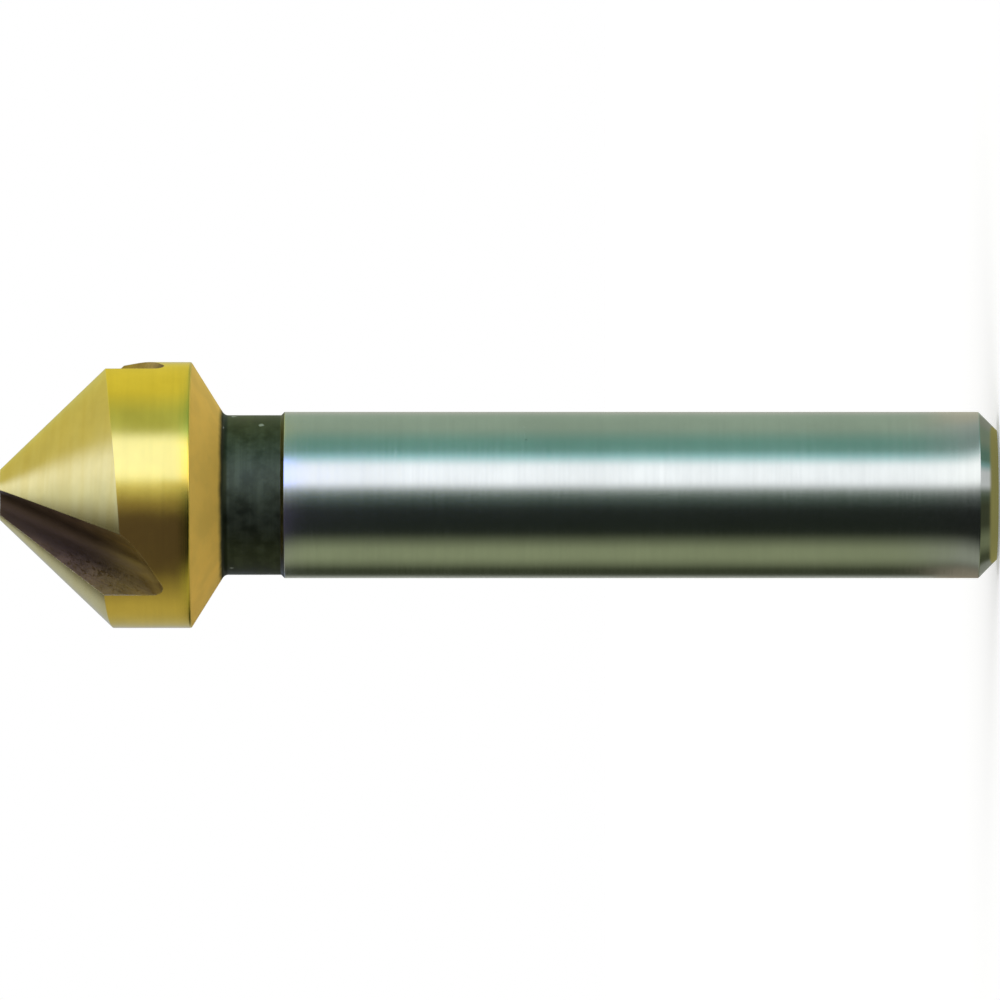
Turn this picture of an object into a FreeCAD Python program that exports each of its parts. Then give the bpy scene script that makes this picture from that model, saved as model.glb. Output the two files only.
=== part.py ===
"""Countersink bit for metal: a 90 degree point with three straight flutes on a parallel shank.

The bit is one piece. It is turned from a bar of tool steel, and its lands and flutes are ground into it.
It stands on the flat end of its shank, with its axis on +Z and its point up. The origin is the centre of
the shank's end face. The first cutting edge points along +X, and seen from above the bit turns
anticlockwise when it cuts. All lengths are in millimetres and all angles in degrees.
"""

import FreeCAD
import Part
import Sketcher
import math
import os

# Each driving size of the bit: its name, its value and what it measures.
SIZES = (
    ("overallLength", 60.0, "from the shank's end face to the flat of the tip"),
    ("shankDiameter", 10.0, "parallel shank that the chuck holds"),
    ("shankChamfer", 1.2, "45 degree chamfer on the shank's end"),
    ("neckDiameter", 9.6, "unground neck between the ground shank and the head"),
    ("neckLength", 3.4, "from the ground shank to the cone behind the head"),
    ("neckFillet", 0.4, "radius in the corner between the neck and the rear cone"),
    ("rearConeLength", 2.0, "height of the cone behind the head"),
    ("rimBreak", 0.15, "rounding of the rim between the rear cone and the head"),
    ("headDiameter", 16.0, "round part of the head, the largest hole that the bit sinks"),
    ("roundLength", 5.1, "length of the head's round part, from the rim to the corner of the point"),
    ("pointAngle", 90.0, "full angle of the point at the cutting edges"),
    ("tipDiameter", 3.2, "flat of the tip"),
    ("fluteCount", 3, "flutes, and as many lands"),
    ("fluteAngle", 66.0, "from the cutting face across to the back of the next land"),
    ("fluteSlope", 31.8, "between the root of a flute and the axis"),
    ("fluteCore", 0.45, "from the axis to the root of a flute at the tip"),
    ("gulletRadius", 0.6, "rounding along the root of a flute"),
    ("runoutStandoff", 0.9, "centre of the flute's round end, out from the head's surface"),
    ("runoutRise", 0.4, "centre of the flute's round end, up from the corner of head and point"),
    ("reliefTilt", 2.4, "tilt of the axis about which a land is ground back from its cutting edge"),
    ("landMiddle", 44.0, "round the axis from a cutting edge back to the middle of its land"),
    ("grindOverrun", 1.0, "how far the grinding of a land reaches out past the head"),
)

# Lengths that follow from the driving sizes, as expressions on the sheet.
SHANK_RADIUS = "(Sizes.shankDiameter / 2)"
NECK_RADIUS = "(Sizes.neckDiameter / 2)"
HEAD_RADIUS = "(Sizes.headDiameter / 2)"
TIP_RADIUS = "(Sizes.tipDiameter / 2)"
HALF_POINT = "(Sizes.pointAngle / 2)"
CORNER_HEIGHT = f"(Sizes.overallLength - ({HEAD_RADIUS} - {TIP_RADIUS}) / tan({HALF_POINT}))"
RIM_HEIGHT = f"({CORNER_HEIGHT} - Sizes.roundLength)"
NECK_TOP = f"({RIM_HEIGHT} - Sizes.rearConeLength)"
SHANK_TOP = f"({NECK_TOP} - Sizes.neckLength)"
APEX_HEIGHT = f"(Sizes.overallLength + {TIP_RADIUS} / tan({HALF_POINT}))"

# The flute's round end: its centre, and its radius, which is the distance from there to the flute's root.
RUNOUT_REACH = f"({HEAD_RADIUS} + Sizes.runoutStandoff)"
RUNOUT_HEIGHT = f"({CORNER_HEIGHT} + Sizes.runoutRise)"
RUNOUT_RADIUS = (
    f"(({RUNOUT_REACH} - Sizes.fluteCore) * cos(Sizes.fluteSlope)"
    f" - (Sizes.overallLength - {RUNOUT_HEIGHT}) * sin(Sizes.fluteSlope))"
)

# Half-angle of the tilted cone that keeps the point angle at the cutting edge of its land.
RELIEF_HALF_ANGLE = (
    f"acos(cos({HALF_POINT}) * cos(Sizes.reliefTilt)"
    f" + sin({HALF_POINT}) * sin(Sizes.landMiddle) * sin(Sizes.reliefTilt))"
)

# The sketcher's numbers for a curve's ends and centre, and for a sketch's origin and two axes.
START, END, CENTRE = range(1, 4)
H_AXIS, V_AXIS = range(-1, -3, -1)
ORIGIN = (H_AXIS, START)

FULL_TURN = 360
TIGHT = 1e-6


def make_sheet(doc):
    """Put every driving size into a spreadsheet cell that carries its name."""
    sheet = doc.addObject("Spreadsheet::Sheet", "Sizes")
    for row, (name, value, meaning) in enumerate(SIZES, start=1):
        sheet.set(f"A{row}", name)
        sheet.set(f"B{row}", str(value))
        sheet.set(f"C{row}", meaning)
        sheet.setAlias(f"B{row}", name)
    doc.recompute()
    return sheet


def value_of(sheet, expression):
    """Return what an expression on the sheet comes to, in millimetres or degrees."""
    result = sheet.evalExpression(expression)
    return float(getattr(result, "Value", result))


def origin_feature(body, role):
    """Return one of the body's own origin planes or axes."""
    return next(item for item in body.Origin.OriginFeatures if item.Role == role)


def make_sketch(body, name, plane, offset=None):
    """Attach a new sketch to an origin plane, moved by an expression where one is given."""
    sketch = body.newObject("Sketcher::SketchObject", name)
    sketch.AttachmentSupport = [(origin_feature(body, plane), "")]
    sketch.MapMode = "FlatFace"
    if offset:
        sketch.setExpression("AttachmentOffset", offset)
    return sketch


def bind(sheet, sketch, kind, place, expression):
    """Add a constraint to a sketch and bind its value to the sheet."""
    value = value_of(sheet, expression)
    if kind == "Angle":
        value = FreeCAD.Units.Quantity(value, FreeCAD.Units.Angle)
    index = sketch.addConstraint(Sketcher.Constraint(kind, *place, value))
    sketch.setExpression(f"Constraints[{index}]", expression)


def draw_outline(sheet, sketch, corners):
    """Draw a closed outline whose corners are pairs of expressions for their two coordinates."""
    points = [
        FreeCAD.Vector(value_of(sheet, across), value_of(sheet, along), 0)
        for across, along in corners
    ]
    count = len(points)
    for number in range(count):
        sketch.addGeometry(Part.LineSegment(points[number], points[(number + 1) % count]))
    for number, (across, along) in enumerate(corners):
        previous = (number - 1) % count
        sketch.addConstraint(Sketcher.Constraint("Coincident", previous, END, number, START))
        for kind, expression, axis in (("DistanceX", across, V_AXIS), ("DistanceY", along, H_AXIS)):
            if expression == "0":
                sketch.addConstraint(Sketcher.Constraint("PointOnObject", number, START, axis))
            else:
                bind(sheet, sketch, kind, (number, START), expression)


def turn_blank(sheet, body):
    """Turn the bar to its profile: shank, neck, rear cone, round head and point."""
    sketch = make_sketch(body, "BlankProfile", "XZ_Plane")
    draw_outline(sheet, sketch, (
        ("0", "0"),
        (SHANK_RADIUS, "0"),
        (SHANK_RADIUS, f"{SHANK_TOP} - ({SHANK_RADIUS} - {NECK_RADIUS})"),
        (NECK_RADIUS, SHANK_TOP),
        (NECK_RADIUS, NECK_TOP),
        (HEAD_RADIUS, RIM_HEIGHT),
        (HEAD_RADIUS, CORNER_HEIGHT),
        (TIP_RADIUS, "Sizes.overallLength"),
        ("0", "Sizes.overallLength"),
    ))
    blank = body.newObject("PartDesign::Revolution", "TurnedBlank")
    blank.Profile = sketch
    blank.ReferenceAxis = (sketch, ["V_Axis"])
    blank.Angle = FULL_TURN
    return blank


def circle_edge(sheet, feature, radius, height):
    """Name the round edge of a feature that has this radius at this height."""
    wanted_radius, wanted_height = value_of(sheet, radius), value_of(sheet, height)
    for number, edge in enumerate(feature.Shape.Edges, start=1):
        curve = edge.Curve
        if not isinstance(curve, Part.Circle) or abs(curve.Radius - wanted_radius) > TIGHT:
            continue
        if abs(curve.Center.z - wanted_height) < TIGHT:
            return f"Edge{number}"
    raise RuntimeError(f"{feature.Label} has no round edge at {radius}, {height}")


def dress_edge(doc, sheet, body, base, kind, name, size, radius, height):
    """Chamfer or fillet one round edge, with its size bound to the sheet."""
    doc.recompute()
    dressing = body.newObject(f"PartDesign::{kind}", name)
    dressing.Base = (base, [circle_edge(sheet, base, radius, height)])
    dressing.setExpression("Size" if kind == "Chamfer" else "Radius", size)
    body.Tip = dressing
    return dressing


def pattern_round_axis(body, name, originals):
    """Repeat grinding passes for every flute."""
    pattern = body.newObject("PartDesign::PolarPattern", name)
    pattern.Originals = originals
    pattern.Axis = (origin_feature(body, "Z_Axis"), [""])
    pattern.Angle = FULL_TURN
    pattern.setExpression("Occurrences", "Sizes.fluteCount")
    body.Tip = pattern
    return pattern


def grind_relief(sheet, body):
    """Grind a land back from its cutting edge, by a cone about an axis tilted at the point's apex."""
    sketch = make_sketch(
        body,
        "ReliefProfile",
        "XZ_Plane",
        f"placement(vector(0; {APEX_HEIGHT}; 0); rotationy(-Sizes.landMiddle) * rotationx(Sizes.reliefTilt))",
    )
    reach = f"({HEAD_RADIUS} + Sizes.grindOverrun)"
    draw_outline(sheet, sketch, (
        ("0", "0"),
        (reach, f"-{reach} / tan({RELIEF_HALF_ANGLE})"),
        (reach, "0"),
    ))
    relief = body.newObject("PartDesign::Groove", "LandRelief")
    relief.Profile = sketch
    relief.ReferenceAxis = (sketch, ["V_Axis"])
    relief.Midplane = True
    relief.setExpression("Angle", f"{FULL_TURN} / Sizes.fluteCount")
    return relief


def draw_flute_section(sheet, body):
    """Draw a flute's section square to its root, with the centre of its round end at the sketch's origin."""
    sketch = make_sketch(
        body,
        "FluteSection",
        "XY_Plane",
        f"placement(vector({RUNOUT_REACH}; 0; {RUNOUT_HEIGHT}); rotationy(-Sizes.fluteSlope))",
    )
    gullet = value_of(sheet, "Sizes.gulletRadius")
    angle = math.radians(value_of(sheet, "Sizes.fluteAngle"))
    origin = FreeCAD.Vector()
    centre = FreeCAD.Vector(gullet - value_of(sheet, RUNOUT_RADIUS), gullet, 0)
    touch = centre + FreeCAD.Vector(-math.sin(angle), math.cos(angle), 0) * gullet
    back_end = FreeCAD.Vector(0, touch.y - touch.x * math.tan(angle), 0)
    circle = Part.Circle(centre, FreeCAD.Vector(0, 0, 1), gullet)
    face = sketch.addGeometry(Part.LineSegment(origin, FreeCAD.Vector(centre.x, 0, 0)))
    root = sketch.addGeometry(Part.ArcOfCircle(circle, math.pi / 2 + angle, 3 * math.pi / 2))
    back = sketch.addGeometry(Part.LineSegment(touch, back_end))
    close = sketch.addGeometry(Part.LineSegment(back_end, origin))
    for kind, *place in (
        ("Coincident", face, START, *ORIGIN),
        ("PointOnObject", face, END, H_AXIS),
        ("Tangent", face, END, root, END),
        ("Tangent", root, START, back, START),
        ("PointOnObject", back, END, V_AXIS),
        ("Coincident", back, END, close, START),
        ("Coincident", close, END, *ORIGIN),
    ):
        sketch.addConstraint(Sketcher.Constraint(kind, *place))
    bind(sheet, sketch, "Radius", (root,), "Sizes.gulletRadius")
    bind(sheet, sketch, "Angle", (back,), "Sizes.fluteAngle")
    bind(sheet, sketch, "DistanceX", (root, CENTRE, *ORIGIN), f"{RUNOUT_RADIUS} - Sizes.gulletRadius")
    return sketch


def grind_flute(sheet, body):
    """Grind a flute: straight from its round end out over the tip, and round about the end's centre."""
    section = draw_flute_section(sheet, body)
    straight = body.newObject("PartDesign::Pocket", "FluteStraight")
    straight.Profile = section
    straight.Type = "ThroughAll"
    straight.Reversed = True
    runout = body.newObject("PartDesign::Groove", "FluteRunout")
    runout.Profile = section
    runout.ReferenceAxis = (section, ["V_Axis"])
    runout.Angle = FULL_TURN
    return [straight, runout]


def check_build(doc, body):
    """Stop where an object failed, or where a feature took nothing off the steel before it."""
    for item in doc.Objects:
        if {"Invalid", "Error"} & set(item.State):
            raise RuntimeError(f"{item.Label} failed: {item.State}")
    solids = [item for item in body.Group if item.isDerivedFrom("PartDesign::Feature")]
    for before, after in zip(solids, solids[1:]):
        if after.Shape.Volume > before.Shape.Volume - TIGHT and after.Name != "NeckFillet":
            raise RuntimeError(f"{after.Label} takes nothing off {before.Label}")
    shape = body.Shape
    if shape.isNull() or not shape.isValid() or len(shape.Solids) != 1:
        raise RuntimeError(f"{body.Label} isn't one valid solid")


def make_bit(doc, sheet):
    """Build the bit's body from the turned blank to the ground flutes."""
    body = doc.addObject("PartDesign::Body", "CountersinkBit")
    body.Label = "countersink_bit"
    body.Placement = FreeCAD.Placement()
    blank = turn_blank(sheet, body)
    chamfer = dress_edge(
        doc, sheet, body, blank, "Chamfer", "ShankChamfer", "Sizes.shankChamfer", SHANK_RADIUS, "0"
    )
    fillet = dress_edge(
        doc, sheet, body, chamfer, "Fillet", "NeckFillet", "Sizes.neckFillet", NECK_RADIUS, NECK_TOP
    )
    dress_edge(doc, sheet, body, fillet, "Fillet", "RimBreak", "Sizes.rimBreak", HEAD_RADIUS, RIM_HEIGHT)
    pattern_round_axis(body, "LandReliefs", [grind_relief(sheet, body)])
    pattern_round_axis(body, "Flutes", grind_flute(sheet, body))
    doc.recompute()
    return body


def main():
    """Build the document and write the bit's solid."""
    doc = FreeCAD.newDocument("CountersinkBit")
    sheet = make_sheet(doc)
    body = make_bit(doc, sheet)
    check_build(doc, body)
    os.makedirs("parts", exist_ok=True)
    body.Shape.exportStep(f"parts/{body.Label}.step")
    shape = body.Shape
    print(f"{body.Label}: {shape.Volume:.1f} cubic millimetres, {len(shape.Faces)} faces")


main()
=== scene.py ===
"""Finishes and stage for the countersink bit, laid out as an add-on and run as a script.

The bit stands on its shank's end with its point up. The camera is rolled a quarter turn, so the
bit lies across the picture with its point to the left. Lengths are in metres, but the bit's
surface is worked out in millimetres, and MeshDraft turns its points into metres.
"""

import math

import bpy
from mathutils import Matrix, Vector


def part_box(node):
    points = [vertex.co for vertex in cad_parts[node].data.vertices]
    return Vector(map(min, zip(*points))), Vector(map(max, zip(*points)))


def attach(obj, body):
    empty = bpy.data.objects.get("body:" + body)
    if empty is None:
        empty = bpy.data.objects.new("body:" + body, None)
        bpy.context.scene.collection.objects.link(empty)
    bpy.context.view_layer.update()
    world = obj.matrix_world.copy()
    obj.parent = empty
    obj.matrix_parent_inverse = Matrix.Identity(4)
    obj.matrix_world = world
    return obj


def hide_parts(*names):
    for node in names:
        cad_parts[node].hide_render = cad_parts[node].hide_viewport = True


bl_info = {
    "name": "Countersink Bit",
    "version": (1, 0, 0),
    "blender": (4, 5, 0),
    "location": "3D View > Sidebar > Countersink",
    "description": "Finishes, stage and camera for a fluted countersink bit",
    "category": "Object",
}

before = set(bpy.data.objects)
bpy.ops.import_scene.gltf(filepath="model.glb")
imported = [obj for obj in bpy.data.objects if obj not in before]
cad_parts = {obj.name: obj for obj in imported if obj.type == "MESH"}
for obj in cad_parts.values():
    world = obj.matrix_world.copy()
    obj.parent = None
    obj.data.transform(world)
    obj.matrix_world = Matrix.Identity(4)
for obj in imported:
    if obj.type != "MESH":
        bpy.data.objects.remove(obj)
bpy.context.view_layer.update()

NODE = "countersink_bit"
MM = 0.001
BIT_LOW, BIT_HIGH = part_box(NODE)
BIT_LENGTH = BIT_HIGH.z - BIT_LOW.z
BIT_RADIUS = min(-BIT_LOW.x, BIT_HIGH.x, -BIT_LOW.y, BIT_HIGH.y)

FLUTES = 3
SECTOR = 2 * math.pi / FLUTES
HALF_POINT = math.pi / 4

# The finishes' places in the mesh's list of materials, how far below its start the gold's material
# begins, and how sharp an edge has to be to stay an edge.
STEEL, SKIN, GOLD, FLUTE = range(4)
GOLD_LAP = 0.2 * MM
SHARP_EDGE = math.radians(24)

# How finely the bit's surface is laid out, with steps in millimetres. The points across a flute's
# floor crowd towards its face, and the rows towards its end.
ARC_STEPS = 7
LONGEST_STEP = 1.5
FLOOR_STEPS = 30
FLOOR_CROWDING = 1.6
LAND_STEPS = 60
FACE_STEPS = 12
END_ROWS = 9
END_CROWDING = 2
RUNOUT_ROWS = 6
SIDE_ROWS = 12
POINT_ROWS = 40

# The limits of the search for a flute's edges: smallest turn, smallest depth and halvings.
TINY_TURN = 1e-6
SLIVER = 1e-6
HALVINGS = 36

# A cloud of random values mostly lies between these two.
NOISE_LOW, NOISE_HIGH = 0.3, 0.7

# How far before its face a flute's own ground begins, in radians, and where the painted shade in
# its root fades, as multiples of the gullet's radius.
BEFORE_FACE = 0.2
ROOT_SHADE_FADES_AT, ROOT_SHADE_FULL_AT = 2.6, 1.0

# The coating where an edge has rubbed it thin.
RUBBED_GOLD = (0.82, 0.76, 0.50)

# The cards round the shank, level with it: each one's first and last edge in degrees from the
# camera towards the picture's top, then its colour. Between two cards the light blends.
SHANK_CARDS = (
    (-180, -160, (0.53, 0.55, 0.49)),
    (-142, -123, (0.055, 0.065, 0.035)),
    (-95, -79, (0.375, 0.42, 0.24)),
    (-53, -18, (0.016, 0.022, 0.014)),
    (-4, -4, (0.08, 0.12, 0.09)),
    (5, 5, (0.30, 0.36, 0.31)),
    (17, 39, (1.70, 1.72, 1.80)),
    (52, 52, (0.50, 0.95, 0.97)),
    (62, 76, (0.20, 0.44, 0.36)),
    (103, 135, (0.43, 0.55, 0.42)),
    (160, 180, (0.55, 0.57, 0.49)),
)

# The same round the head.
HEAD_CARDS = (
    (-180, -150, (0.47, 0.53, 0.75)),
    (-119, -106, (0.49, 0.48, 0.41)),
    (-66, -18, (0.090, 0.075, 0.13)),
    (-5, -5, (0.30, 0.28, 0.30)),
    (10, 10, (0.82, 0.90, 0.90)),
    (14, 46, (1.30, 1.63, 4.00)),
    (55, 71, (0.46, 0.59, 0.48)),
    (97, 145, (0.76, 0.80, 0.35)),
    (180, 180, (0.47, 0.53, 0.75)),
)

# The cards in the tent's roof: how far towards the picture's top, as a share of the radius.
ROOF_CARDS = (
    (-1.00, -0.50, (0.02, 0.02, 0.02)),
    (-0.26, -0.26, (0.10, 0.10, 0.09)),
    (-0.05, -0.05, (0.80, 0.88, 1.00)),
    (0.10, 0.18, (1.03, 1.10, 1.30)),
    (0.30, 0.43, (0.63, 0.60, 0.28)),
    (0.62, 1.00, (0.82, 0.78, 0.15)),
)

# Where the tent's cards change. At these heights the shank's cards give way to the head's, and the
# table under the bit to the wall. At these distances from the axis the foot's own light ends, the
# table begins, and the rim of the tent's hole ends.
HEAD_CARDS_FROM = (46.6 * MM, 49.2 * MM)
TABLE_UNDER = (1.5 * MM, 1.0 * MM)
FOOT_WITHIN = (7.5 * MM, 5.5 * MM)
TABLE_FROM = (7 * MM, 10 * MM)
RIM_WITHIN = (4.5 * MM, 4.3 * MM)

# The same for the roof, as shares of the tent's radius: its height, and the gap behind the bit.
ROOF_FROM = (0.50, 0.78)
GAP_BEHIND = (-0.45, -0.70)
GAP_UNDER = (-0.02, -0.20)

# The card on the table behind the bit, in two shades, and the shades at the foot and the rim.
CARD_BEHIND = (-0.15, -0.6)
CARD_UNDER = (0.2, -0.5)
PALE_CARD = (0.60, 0.58, 0.46, 1.0)
BROWN_CARD = (0.33, 0.29, 0.22, 1.0)
FOOT_SHADE = (0.10, 0.11, 0.06, 1.0)
RIM_SHADE = (0.34, 0.31, 0.11, 1.0)
TABLE_GREYED = 0.6
FOOT_SHADED = 0.55

# The tent's outline: its table and the heights of its wall in millimetres, its dome in degrees.
TENT_TABLE = ((3.9, 0.04), (8, 0.3), (20, 0.3), (40, 0.3))
TENT_WALL = (0.4, 20, 40, 70)
TENT_DOME = range(20, 91, 5)
TENT_SIDES = 96

# The floor's rings in metres and its sides, how much it glows where it is seen, and the light of
# the surround.
FLOOR_RINGS = (0, 0.02, 0.1, 0.5, 3.0)
FLOOR_SIDES = 64
FLOOR_GLOW = 0.37
SURROUND_LIGHT = 0.40

# The lamp's turn out of the vertical, and the width in millimetres of the camera's sensor.
LAMP_TILT = (math.radians(24), math.radians(12), 0.0)
SENSOR_WIDTH = 36.0

# The bit's outline from the shank's end up to the flutes: radius and height in millimetres, and
# how far the corner there is rounded.
TURNED_OUTLINE = (
    (3.8, 0.0, 0.06),
    (5.0, 1.2, 0.12),
    (5.0, 42.9, 0.08),
    (4.8, 43.1, 0.0),
    (4.8, 46.5, 0.4),
    (8.0, 48.5, 0.15),
)


def rounded_outline(corners, top):
    """Lay out points along a line of corners, with an arc at each corner that has a radius."""
    points = [(0.0, corners[0][1]), (corners[0][0] * 0.5, corners[0][1])]
    line = [(0.0, corners[0][1], 0.0), *corners, (*top, 0.0)]
    for before, corner, after in zip(line, line[1:], line[2:]):
        here = Vector(corner[:2])
        back = (Vector(before[:2]) - here).normalized()
        on = (Vector(after[:2]) - here).normalized()
        if not corner[2]:
            points.append(tuple(here))
            continue
        half = back.angle(on) / 2
        centre = here + (back + on).normalized() * corner[2] / math.sin(half)
        start = here + back * corner[2] / math.tan(half)
        finish = here + on * corner[2] / math.tan(half)
        for step in range(ARC_STEPS + 1):
            way = (start - centre).lerp(finish - centre, step / ARC_STEPS).normalized()
            points.append(tuple(centre + way * corner[2]))
    points.append(tuple(top))
    return spread_out(points)


def spread_out(points):
    """Put points in between where two are far apart."""
    dense = [points[0]]
    for low, high in zip(points, points[1:]):
        steps = max(1, math.ceil((Vector(high) - Vector(low)).length / LONGEST_STEP))
        for step in range(1, steps + 1):
            dense.append(tuple(Vector(low).lerp(Vector(high), step / steps)))
    return dense


class GroundPoint:
    """The bit's point, its three relieved lands and its three flutes, in millimetres."""

    def __init__(self, sizes):
        self.head = sizes.head_radius / MM
        self.top = BIT_LENGTH / MM
        self.apex = self.top + sizes.tip_radius / MM
        self.tilt = sizes.relief_tilt
        self.lean = math.pi / 2 - sizes.land_middle
        self.relief_cos = math.cos(HALF_POINT) * (
            math.cos(self.tilt) + math.sin(sizes.land_middle) * math.sin(self.tilt)
        )
        self.slope = sizes.flute_slope
        self.gullet = sizes.gullet_radius / MM
        self.spread = math.tan(sizes.flute_angle)
        self.reach = sizes.runout_reach / MM
        self.rise = sizes.runout_height / MM
        self.runout = (self.reach - sizes.flute_core / MM) * math.cos(self.slope) - (
            self.top - self.rise
        ) * math.sin(self.slope)
        self.middle = self.gullet - self.runout
        self.touch_u = self.middle - self.gullet * math.sin(sizes.flute_angle)
        self.touch_v = self.gullet * (1 + math.cos(sizes.flute_angle))
        self.deepest_turn = math.asin(self.gullet / self.head)
        self.end = self.rise - math.sqrt(self.runout**2 - (self.reach - self.head) ** 2)
        self.face_end = self.rise - math.sqrt(self.middle**2 - (self.reach - self.head) ** 2)

    def land_angle(self, turn):
        """Angle between the axis and the land, at a turn measured on from the flute's face."""
        across = math.sin(self.tilt) * math.cos(turn - SECTOR - self.lean)
        along = math.cos(self.tilt)
        return math.atan2(across, along) + math.acos(self.relief_cos / math.hypot(across, along))

    def corner_height(self, turn):
        """Height where the land meets the round head."""
        return self.apex - self.head / math.tan(self.land_angle(turn))

    def skin_radius(self, turn, height):
        """Radius of the unfluted head."""
        return min(self.head, (self.apex - height) * math.tan(self.land_angle(turn)))

    def in_section(self, u, v):
        """Whether a place in the wheel's section is ground away."""
        if v < 0 or u > 0 or v > self.touch_v + (u - self.touch_u) * self.spread:
            return False
        if u >= self.middle:
            return True
        return v >= self.touch_v or math.hypot(u - self.middle, v - self.gullet) <= self.gullet

    def ground_away(self, turn, height, radius):
        """Whether the wheel takes away this place."""
        x = radius * math.cos(turn) - self.reach
        z = height - self.rise
        u = x * math.cos(self.slope) + z * math.sin(self.slope)
        w = z * math.cos(self.slope) - x * math.sin(self.slope)
        if w < 0:
            u = -math.hypot(u, w)
        return self.in_section(u, radius * math.sin(turn))

    def flute_radius(self, turn, height):
        """Radius at which the flute's floor lies."""
        skin = self.skin_radius(turn, height)
        return halve(0.0, skin, lambda radius: self.ground_away(turn, height, radius))


def halve(kept, gone, test):
    """Close in on the place between two values where a test turns from false to true."""
    if not test(gone):
        return gone
    for _ in range(HALVINGS):
        middle = (kept + gone) / 2
        kept, gone = (kept, middle) if test(middle) else (middle, gone)
    return (kept + gone) / 2


def head_row(point, height_at):
    """One third of a row of points round the head, from a flute's floor to the next one's face."""

    def cut(turn):
        height = height_at(turn)
        return point.ground_away(turn, height, point.skin_radius(turn, height) - SLIVER)

    deepest = point.deepest_turn
    if cut(deepest):
        heel = halve(SECTOR, deepest, cut)
        first = TINY_TURN if cut(TINY_TURN) else halve(0.0, deepest, cut)
    else:
        heel = first = deepest
    row = []
    for step in range(FLOOR_STEPS + 1):
        turn = first + (heel - first) * (step / FLOOR_STEPS) ** FLOOR_CROWDING
        height = height_at(turn)
        edge = step in {0, FLOOR_STEPS} and (step or first > TINY_TURN)
        radius_at = point.skin_radius if edge or heel == first else point.flute_radius
        row.append((turn, radius_at(turn, height), height))
    for step in range(1, LAND_STEPS + 1):
        turn = heel + (SECTOR - heel) * step / LAND_STEPS
        row.append((turn, point.skin_radius(turn, height_at(turn)), height_at(turn)))
    edge_radius, edge_height = row[-1][1:]
    root_turn, root_radius, root_height = row[0]
    for step in range(1, FACE_STEPS):
        part = step / FACE_STEPS
        if first > TINY_TURN:
            turn = SECTOR + root_turn * part
            height = height_at(SECTOR) + (root_height - height_at(SECTOR)) * part
            row.append((turn, point.head, height))
        else:
            radius = edge_radius + (root_radius - edge_radius) * part
            row.append((SECTOR, radius, edge_height + (root_height - edge_height) * part))
    return row


def head_rows(point):
    """All rows of the fluted head, from the flutes' ends to the tip, each one third of a turn."""
    flat = point.face_end + (point.corner_height(0.0) - point.face_end) * 0.5
    rows = []
    for step in range(END_ROWS):
        height = point.end + (point.face_end - point.end) * (step / END_ROWS) ** END_CROWDING
        rows.append(head_row(point, lambda turn, height=height: height))
    for step in range(RUNOUT_ROWS):
        height = point.face_end + (flat - point.face_end) * step / RUNOUT_ROWS
        rows.append(head_row(point, lambda turn, height=height: height))
    for step in range(SIDE_ROWS):
        up = step / SIDE_ROWS

        def on_side(turn, up=up):
            return flat + (point.corner_height(turn) - flat) * up

        rows.append(head_row(point, on_side))
    for step in range(POINT_ROWS + 1):
        down = 1 - step / POINT_ROWS

        def on_land(turn, down=down):
            return point.top - (point.top - point.corner_height(turn)) * down

        rows.append(head_row(point, on_land))
    return rows


class MeshDraft:
    """Points and faces of a mesh; points at the same place become one."""

    def __init__(self):
        self.points, self.faces, self.finishes, self.known = [], [], [], {}

    def point(self, x, y, z):
        """Number of the point at a place in millimetres."""
        key = (round(x, 5), round(y, 5), round(z, 5))
        if key not in self.known:
            self.known[key] = len(self.points)
            self.points.append((x * MM, y * MM, z * MM))
        return self.known[key]

    def face(self, corners, finish):
        """Add a face, unless its corners fall together."""
        corners = [now for now, after in zip(corners, corners[1:] + corners[:1]) if now != after]
        if len(set(corners)) > 2:
            self.faces.append(corners)
            self.finishes.append(finish)

    def ring(self, places):
        """Numbers of the points at a row of (turn, radius, height)."""
        return [self.point(r * math.cos(turn), r * math.sin(turn), z) for turn, r, z in places]


def draft_bit(shape, finish):
    """Work out the bit's whole surface from the shank's end to the tip."""
    point = GroundPoint(shape)
    rows = head_rows(point)
    full_rows = [
        [(turn + flute * SECTOR, r, z) for flute in range(FLUTES) for turn, r, z in row]
        for row in rows
    ]
    turns = [turn for turn, _, _ in full_rows[0]]
    corners = [(min(radius, point.head), height, arc) for radius, height, arc in TURNED_OUTLINE]
    outline = rounded_outline(corners, (point.head, point.end))
    draft = MeshDraft()
    rings = [[(turn, radius, height) for turn in turns] for radius, height in outline[:-1]]
    rings += full_rows
    numbers = [draft.ring(ring) for ring in rings]
    ground_from = len(rings) - len(full_rows)
    third = len(rows[0])
    for number, (low, high) in enumerate(zip(numbers, numbers[1:])):
        height = rings[number][0][2] * MM
        kind = SKIN if height < finish.gold_start - GOLD_LAP else GOLD
        kind = STEEL if height < finish.skin_start else kind
        for now in range(len(low)):
            after = (now + 1) % len(low)
            column = now % third
            floor = number >= ground_from and column < FLOOR_STEPS
            face = number >= ground_from + END_ROWS and column >= FLOOR_STEPS + LAND_STEPS
            patch = [low[now], low[after], high[after], high[now]]
            draft.face(patch, FLUTE if floor or face else kind)
    tip = draft.point(0.0, 0.0, point.top)
    for now, after in zip(numbers[-1], numbers[-1][1:] + numbers[-1][:1]):
        draft.face([now, after, tip], GOLD)
    return draft


def link_or_set(tree, socket, value):
    """Link a socket to another node's output, or give it a plain value."""
    if isinstance(value, bpy.types.NodeSocket):
        tree.links.new(value, socket)
    else:
        socket.default_value = value


def add_node(tree, kind, inputs=None, **settings):
    """Add a node with its settings, and fill the named or numbered inputs."""
    node = tree.nodes.new(kind)
    for name, value in settings.items():
        setattr(node, name, value)
    for name, value in (inputs or {}).items():
        link_or_set(tree, node.inputs[name], value)
    return node


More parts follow.
